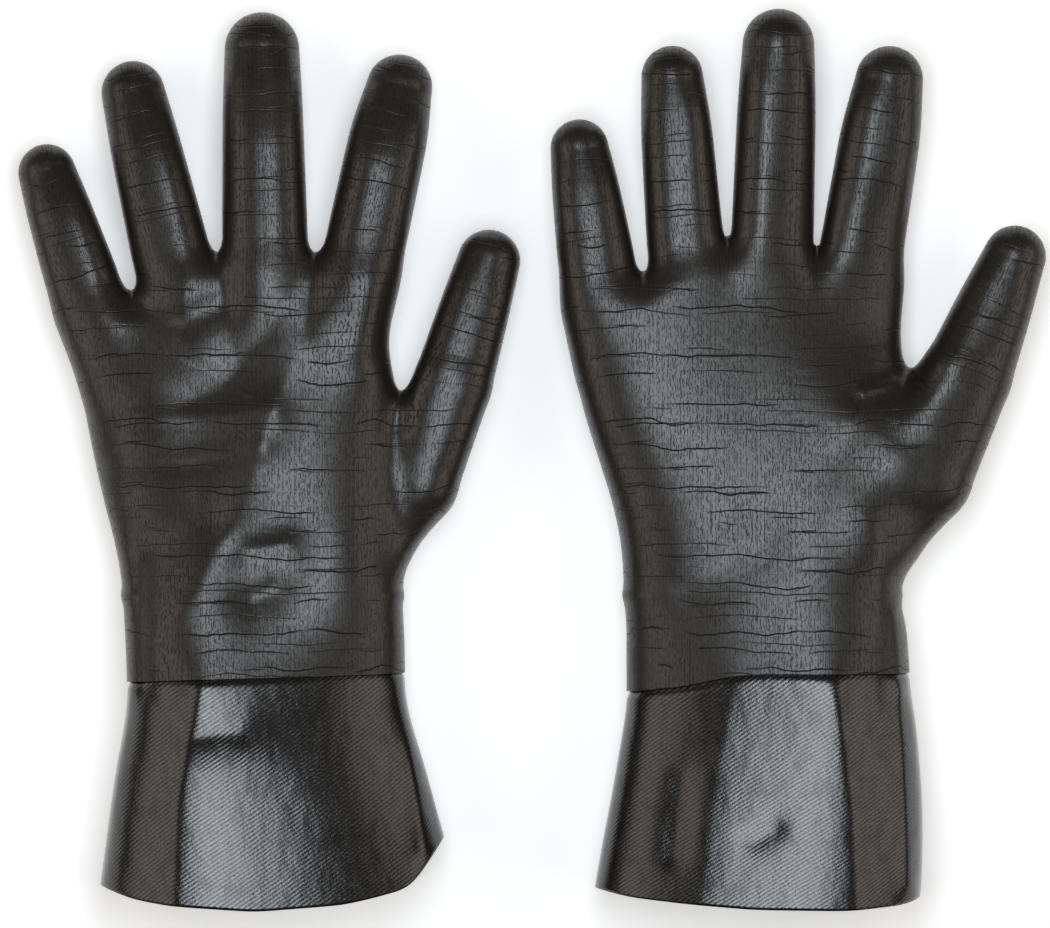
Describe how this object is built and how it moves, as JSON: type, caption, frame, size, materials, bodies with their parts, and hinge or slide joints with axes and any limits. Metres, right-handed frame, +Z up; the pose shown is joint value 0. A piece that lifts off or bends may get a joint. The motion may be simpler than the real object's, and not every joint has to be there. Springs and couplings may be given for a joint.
{
  "type": "rubber gauntlet gloves",
  "caption": "Pair of black rubber-coated, fabric-lined gauntlet gloves with a rough hand and a glossy flared cuff, lying flat, one back up and one palm up.",
  "frame": {"origin": "middle of the pair's footprint, on the surface it lies on", "axes": "+X across the pair to the thumbs' side, +Y from the cuffs to the fingertips, +Z up from the surface"},
  "size_m": [0.3462, 0.3036, 0.0608],
  "materials": {
    "rough_coat": "crazed satin rubber coat with fine crosswise creases",
    "gloss_cuff": "glossy thin coat over diagonal twill",
    "knit_liner": "knitted jersey",
    "cuff_twill": "woven twill",
    "seam_thread": "sewn seam"
  },
  "bodies": {
    "right_cuff": {"right_cuff_coat": "gloss_cuff", "right_cuff_fabric": "cuff_twill", "right_cuff_side_seam": "seam_thread", "right_wrist_flex": "rough_coat"},
    "left_cuff": {"left_cuff_coat": "gloss_cuff", "left_cuff_fabric": "cuff_twill", "left_cuff_side_seam": "seam_thread", "left_wrist_flex": "rough_coat"},
    "left_hand": {"left_hand_coat": "rough_coat", "left_hand_liner": "knit_liner", "left_wrist_seam": "seam_thread", "left_index_root_flex": "rough_coat", "left_middle_root_flex": "rough_coat", "left_ring_root_flex": "rough_coat", "left_little_root_flex": "rough_coat", "left_thumb_root_flex": "rough_coat"},
    "left_index_stall": {"left_index_stall": "rough_coat", "left_index_middle_flex": "rough_coat"},
    "left_index_tip": {"left_index_tip": "rough_coat"},
    "left_middle_stall": {"left_middle_stall": "rough_coat", "left_middle_middle_flex": "rough_coat"},
    "left_middle_tip": {"left_middle_tip": "rough_coat"},
    "left_ring_stall": {"left_ring_stall": "rough_coat", "left_ring_middle_flex": "rough_coat"},
    "left_ring_tip": {"left_ring_tip": "rough_coat"},
    "left_little_stall": {"left_little_stall": "rough_coat", "left_little_middle_flex": "rough_coat"},
    "left_little_tip": {"left_little_tip": "rough_coat"},
    "left_thumb_stall": {"left_thumb_stall": "rough_coat", "left_thumb_middle_flex": "rough_coat"},
    "left_thumb_tip": {"left_thumb_tip": "rough_coat"},
    "right_hand": {"right_hand_coat": "rough_coat", "right_hand_liner": "knit_liner", "right_wrist_seam": "seam_thread", "right_index_root_flex": "rough_coat", "right_middle_root_flex": "rough_coat", "right_ring_root_flex": "rough_coat", "right_little_root_flex": "rough_coat", "right_thumb_root_flex": "rough_coat"},
    "right_index_stall": {"right_index_stall": "rough_coat", "right_index_middle_flex": "rough_coat"},
    "right_index_tip": {"right_index_tip": "rough_coat"},
    "right_middle_stall": {"right_middle_stall": "rough_coat", "right_middle_middle_flex": "rough_coat"},
    "right_middle_tip": {"right_middle_tip": "rough_coat"},
    "right_ring_stall": {"right_ring_stall": "rough_coat", "right_ring_middle_flex": "rough_coat"},
    "right_ring_tip": {"right_ring_tip": "rough_coat"},
    "right_little_stall": {"right_little_stall": "rough_coat", "right_little_middle_flex": "rough_coat"},
    "right_little_tip": {"right_little_tip": "rough_coat"},
    "right_thumb_stall": {"right_thumb_stall": "rough_coat", "right_thumb_middle_flex": "rough_coat"},
    "right_thumb_tip": {"right_thumb_tip": "rough_coat"}
  },
  "joints": [
    {"name": "left_glove_lift", "type": "slide", "parent": "right_cuff", "child": "left_cuff", "axis": [0, 0, 1], "range_m": [0, 0.25]},
    {"name": "left_wrist", "type": "hinge", "parent": "left_cuff", "child": "left_hand", "pos_m": [-0.09065, -0.0613, 0.0215], "axis": [-1, 0, 0], "range_deg": [-40, 40], "stiffness_Nm_per_rad": 1.5, "deforming": ["left_wrist_flex", "left_cuff_fabric"]},
    {"name": "left_index_knuckle", "type": "hinge", "parent": "left_hand", "child": "left_index_stall", "pos_m": [-0.05547, 0.07692, 0.01752], "axis": [-0.9744, 0.225, 0], "range_deg": [-10, 75], "stiffness_Nm_per_rad": 0.08, "deforming": ["left_index_root_flex", "left_hand_liner"]},
    {"name": "left_index_middle", "type": "hinge", "parent": "left_index_stall", "child": "left_index_tip", "pos_m": [-0.04783, 0.11, 0.01544], "axis": [-0.9744, 0.225, 0], "range_deg": [0, 80], "stiffness_Nm_per_rad": 0.05, "deforming": ["left_index_middle_flex", "left_hand_liner"]},
    {"name": "left_middle_knuckle", "type": "hinge", "parent": "left_hand", "child": "left_middle_stall", "pos_m": [-0.08936, 0.07858, 0.01752], "axis": [-0.9997, -0.0244, 0], "range_deg": [-10, 75], "stiffness_Nm_per_rad": 0.08, "deforming": ["left_middle_root_flex", "left_hand_liner"]},
    {"name": "left_middle_middle", "type": "hinge", "parent": "left_middle_stall", "child": "left_middle_tip", "pos_m": [-0.09031, 0.11773, 0.01526], "axis": [-0.9997, -0.0244, 0], "range_deg": [0, 80], "stiffness_Nm_per_rad": 0.05, "deforming": ["left_middle_middle_flex", "left_hand_liner"]},
    {"name": "left_ring_knuckle", "type": "hinge", "parent": "left_hand", "child": "left_ring_stall", "pos_m": [-0.12234, 0.07121, 0.0166], "axis": [-0.9755, -0.2198, 0], "range_deg": [-10, 75], "stiffness_Nm_per_rad": 0.08, "deforming": ["left_ring_root_flex", "left_hand_liner"]},
    {"name": "left_ring_middle", "type": "hinge", "parent": "left_ring_stall", "child": "left_ring_tip", "pos_m": [-0.13007, 0.10549, 0.01476], "axis": [-0.9755, -0.2198, 0], "range_deg": [0, 80], "stiffness_Nm_per_rad": 0.05, "deforming": ["left_ring_middle_flex", "left_hand_liner"]},
    {"name": "left_little_knuckle", "type": "hinge", "parent": "left_hand", "child": "left_little_stall", "pos_m": [-0.15182, 0.06276, 0.01564], "axis": [-0.9578, -0.2874, 0], "range_deg": [-10, 75], "stiffness_Nm_per_rad": 0.08, "deforming": ["left_little_root_flex", "left_hand_liner"]},
    {"name": "left_little_middle", "type": "hinge", "parent": "left_little_stall", "child": "left_little_tip", "pos_m": [-0.15873, 0.08581, 0.01438], "axis": [-0.9578, -0.2874, 0], "range_deg": [0, 80], "stiffness_Nm_per_rad": 0.05, "deforming": ["left_little_middle_flex", "left_hand_liner"]},
    {"name": "left_thumb_root", "type": "hinge", "parent": "left_hand", "child": "left_thumb_stall", "pos_m": [-0.02563, 0.02659, 0.01682], "axis": [-0.9225, 0.2868, 0.2582], "range_deg": [-10, 40], "stiffness_Nm_per_rad": 0.08, "deforming": ["left_thumb_root_flex", "left_hand_liner"]},
    {"name": "left_thumb_middle", "type": "hinge", "parent": "left_thumb_stall", "child": "left_thumb_tip", "pos_m": [-0.01866, 0.05056, 0.01507], "axis": [-0.9225, 0.2868, 0.2582], "range_deg": [0, 60], "stiffness_Nm_per_rad": 0.05, "deforming": ["left_thumb_middle_flex", "left_hand_liner"]},
    {"name": "right_wrist", "type": "hinge", "parent": "right_cuff", "child": "right_hand", "pos_m": [0.07765, -0.0613, 0.0215], "axis": [1, 0, 0], "range_deg": [-40, 40], "stiffness_Nm_per_rad": 1.5, "deforming": ["right_wrist_flex", "right_cuff_fabric"]},
    {"name": "right_index_knuckle", "type": "hinge", "parent": "right_hand", "child": "right_index_stall", "pos_m": [0.1129, 0.07666, 0.01842], "axis": [0.9912, -0.1323, 0], "range_deg": [-10, 75], "stiffness_Nm_per_rad": 0.08, "deforming": ["right_index_root_flex", "right_hand_liner"]},
    {"name": "right_index_middle", "type": "hinge", "parent": "right_index_stall", "child": "right_index_tip", "pos_m": [0.11739, 0.11032, 0.0202], "axis": [0.9912, -0.1323, 0], "range_deg": [0, 80], "stiffness_Nm_per_rad": 0.05, "deforming": ["right_index_middle_flex", "right_hand_liner"]},
    {"name": "right_middle_knuckle", "type": "hinge", "parent": "right_hand", "child": "right_middle_stall", "pos_m": [0.082, 0.07988, 0.01844], "axis": [0.9996, -0.0297, 0], "range_deg": [-10, 75], "stiffness_Nm_per_rad": 0.08, "deforming": ["right_middle_root_flex", "right_hand_liner"]},
    {"name": "right_middle_middle", "type": "hinge", "parent": "right_middle_stall", "child": "right_middle_tip", "pos_m": [0.08316, 0.11903, 0.02049], "axis": [0.9996, -0.0297, 0], "range_deg": [0, 80], "stiffness_Nm_per_rad": 0.05, "deforming": ["right_middle_middle_flex", "right_hand_liner"]},
    {"name": "right_ring_knuckle", "type": "hinge", "parent": "right_hand", "child": "right_ring_stall", "pos_m": [0.05166, 0.07617, 0.0174], "axis": [0.9971, 0.0767, 0], "range_deg": [-10, 75], "stiffness_Nm_per_rad": 0.08, "deforming": ["right_ring_root_flex", "right_hand_liner"]},
    {"name": "right_ring_middle", "type": "hinge", "parent": "right_ring_stall", "child": "right_ring_tip", "pos_m": [0.04896, 0.11121, 0.01925], "axis": [0.9971, 0.0767, 0], "range_deg": [0, 80], "stiffness_Nm_per_rad": 0.05, "deforming": ["right_ring_middle_flex", "right_hand_liner"]},
    {"name": "right_little_knuckle", "type": "hinge", "parent": "right_hand", "child": "right_little_stall", "pos_m": [0.02243, 0.06947, 0.01636], "axis": [0.9888, 0.1495, 0], "range_deg": [-10, 75], "stiffness_Nm_per_rad": 0.08, "deforming": ["right_little_root_flex", "right_hand_liner"]},
    {"name": "right_little_middle", "type": "hinge", "parent": "right_little_stall", "child": "right_little_tip", "pos_m": [0.01883, 0.09326, 0.01762], "axis": [0.9888, 0.1495, 0], "range_deg": [0, 80], "stiffness_Nm_per_rad": 0.05, "deforming": ["right_little_middle_flex", "right_hand_liner"]},
    {"name": "right_thumb_root", "type": "hinge", "parent": "right_hand", "child": "right_thumb_stall", "pos_m": [0.14784, 0.0292, 0.02014], "axis": [0.8879, -0.3806, 0.2585], "range_deg": [-10, 40], "stiffness_Nm_per_rad": 0.08, "deforming": ["right_thumb_root_flex", "right_hand_liner"]},
    {"name": "right_thumb_middle", "type": "hinge", "parent": "right_thumb_stall", "child": "right_thumb_tip", "pos_m": [0.15736, 0.0523, 0.02144], "axis": [0.8879, -0.3806, 0.2585], "range_deg": [0, 60], "stiffness_Nm_per_rad": 0.05, "deforming": ["right_thumb_middle_flex", "right_hand_liner"]}
  ]
}
